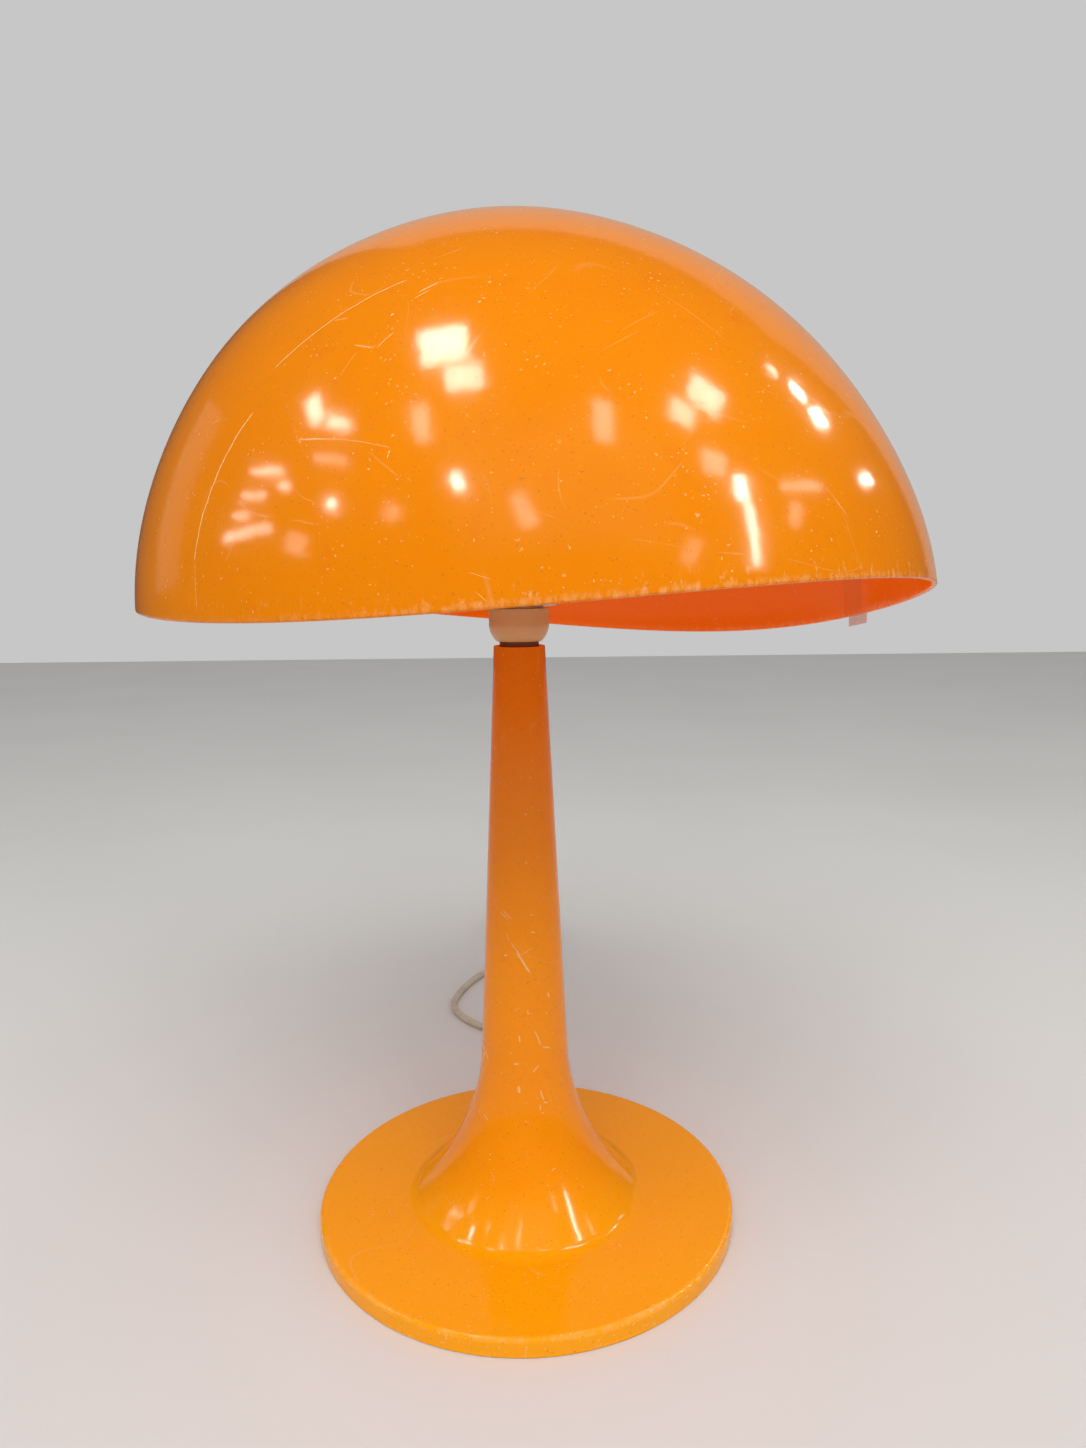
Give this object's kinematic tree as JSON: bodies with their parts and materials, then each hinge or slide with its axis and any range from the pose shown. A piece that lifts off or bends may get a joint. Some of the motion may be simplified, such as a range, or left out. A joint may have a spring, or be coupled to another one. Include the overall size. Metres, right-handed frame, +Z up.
{
  "type": "table lamp",
  "caption": "Orange plastic mushroom table lamp with a wide domed shade, a flared pedestal, a pearl bulb and a beige cord with switch and plug",
  "frame": {"origin": "on the table under the centre of the round foot, at the bottom of the felt", "axes": "+Z up along the stem, -Y to the viewer, +Y to the back where the cord leaves, +X to the viewer's right"},
  "size_m": [0.4312, 0.898, 0.5916],
  "materials": {
    "orange_plastic": "glossy, lightly scratched",
    "cast_weight": "rough cast",
    "cover_board": "pressed board",
    "plated_steel": "zinc plated",
    "felt": "matt felt",
    "neck_plastic": "satin",
    "cream_plastic": "aged cream, satin gloss",
    "brass": "bright",
    "bulb_aluminium": "satin",
    "bulb_insulation": "black vitreous",
    "pearl_glass": "pearl",
    "clear_tape": "translucent",
    "grommet_rubber": "satin",
    "cord_sheath": "beige vinyl",
    "tie_strap": "woven strap",
    "rocker_plastic": "brown"
  },
  "bodies": {
    "lamp": {"pedestal": "orange_plastic", "weight": "cast_weight", "base_cover": "cover_board", "cover_screws": "plated_steel", "threaded_tube": "plated_steel", "tube_washer": "plated_steel", "tube_nuts": "plated_steel", "terminal_screws": "plated_steel", "plunger_springs": "plated_steel", "switch_screws": "plated_steel", "felt_ring": "felt", "stem_bush": "neck_plastic", "holder_cup": "cream_plastic", "holder_barrel": "cream_plastic", "shade_ring": "cream_plastic", "holder_core": "cream_plastic", "plug_body": "cream_plastic", "switch_base": "cream_plastic", "switch_cover": "cream_plastic", "contact_plungers": "brass", "plug_pins": "brass", "cord_grommet": "grommet_rubber", "inner_cord": "cord_sheath", "cord_lead": "cord_sheath", "cord_hank": "cord_sheath", "cord_stop": "cord_sheath", "hank_tie": "tie_strap"},
    "shade_unit": {"shade": "orange_plastic", "shade_carrier": "plated_steel", "carrier_screws": "plated_steel", "rim_tab": "clear_tape"},
    "bulb": {"bulb_glass": "pearl_glass", "bulb_cap": "bulb_aluminium", "bulb_insulator": "bulb_insulation", "bulb_contacts": "brass"},
    "rocker": {"switch_rocker": "rocker_plastic"}
  },
  "joints": [
    {"name": "shade_turn", "type": "hinge", "parent": "lamp", "child": "shade_unit", "pos_m": [0, 0, 0.38], "axis": [0, 0, 1], "continuous": true},
    {"name": "bulb_turn", "type": "hinge", "parent": "lamp", "child": "bulb", "pos_m": [0, 0, 0.4], "axis": [0, 0, 1], "range_deg": [0, 18]},
    {"name": "switch_rock", "type": "hinge", "parent": "lamp", "child": "rocker", "pos_m": [0.01465, 0.467, 0.0114], "axis": [-1, 0, 0], "range_deg": [0, 16]}
  ]
}
